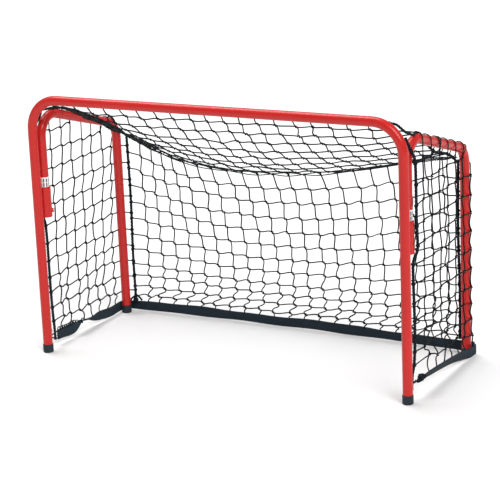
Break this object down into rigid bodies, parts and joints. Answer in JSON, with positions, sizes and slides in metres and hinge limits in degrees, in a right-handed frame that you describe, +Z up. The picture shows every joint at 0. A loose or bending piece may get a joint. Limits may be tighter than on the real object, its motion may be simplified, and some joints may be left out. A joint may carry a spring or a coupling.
{
  "type": "hockey goal net",
  "caption": "Folding street hockey goal of red bent tube, two sloping side frames hinged on the posts, black knotted net with border ropes and a webbing strap along the floor",
  "frame": {"origin": "middle of the footprint on the floor: the centre of the whole goal's box, at floor height", "axes": "+X to the right seen from the front, +Y towards the back of the goal, +Z up; the mouth faces -Y"},
  "size_m": [0.9602, 0.3868, 0.616],
  "materials": {
    "red_paint": "gloss",
    "zinc_steel": "satin",
    "cap_plastic": "matte",
    "twine": "matte",
    "rope": "matte",
    "webbing": "matte",
    "label_paper": "satin"
  },
  "bodies": {
    "front": {"front_frame": "red_paint", "hinge_sleeve_left": "red_paint", "hinge_sleeve_right": "red_paint", "sleeve_screw_left": "zinc_steel", "sleeve_screw_right": "zinc_steel", "foot_cap_front_left": "cap_plastic", "foot_cap_front_right": "cap_plastic", "crossbar_hooks": "red_paint", "post_hooks_left": "red_paint", "post_hooks_right": "red_paint", "net_top": "twine", "net_back": "twine", "rope_crossbar": "rope", "rope_sag": "rope", "rope_front_left": "rope", "rope_front_right": "rope", "corner_tie_left": "rope", "corner_tie_right": "rope", "strap_back": "webbing"},
    "left_side": {"side_frame_left": "red_paint", "foot_cap_rear_left": "cap_plastic", "label_left": "label_paper", "net_left": "twine", "rope_seam_left": "rope", "rope_corner_left": "rope", "strap_left": "webbing", "strap_tie_left": "rope"},
    "right_side": {"side_frame_right": "red_paint", "foot_cap_rear_right": "cap_plastic", "label_right": "label_paper", "net_right": "twine", "rope_seam_right": "rope", "rope_corner_right": "rope", "strap_right": "webbing", "strap_tie_right": "rope"}
  },
  "joints": [
    {"name": "left_fold", "type": "hinge", "parent": "front", "child": "left_side", "pos_m": [-0.458, -0.15613, 0.359], "axis": [0, 0, -1], "range_deg": [0, 90], "deforming": ["net_top"]},
    {"name": "right_fold", "type": "hinge", "parent": "front", "child": "right_side", "pos_m": [0.458, -0.15613, 0.359], "axis": [0, 0, 1], "range_deg": [0, 90], "deforming": ["net_top"]}
  ]
}
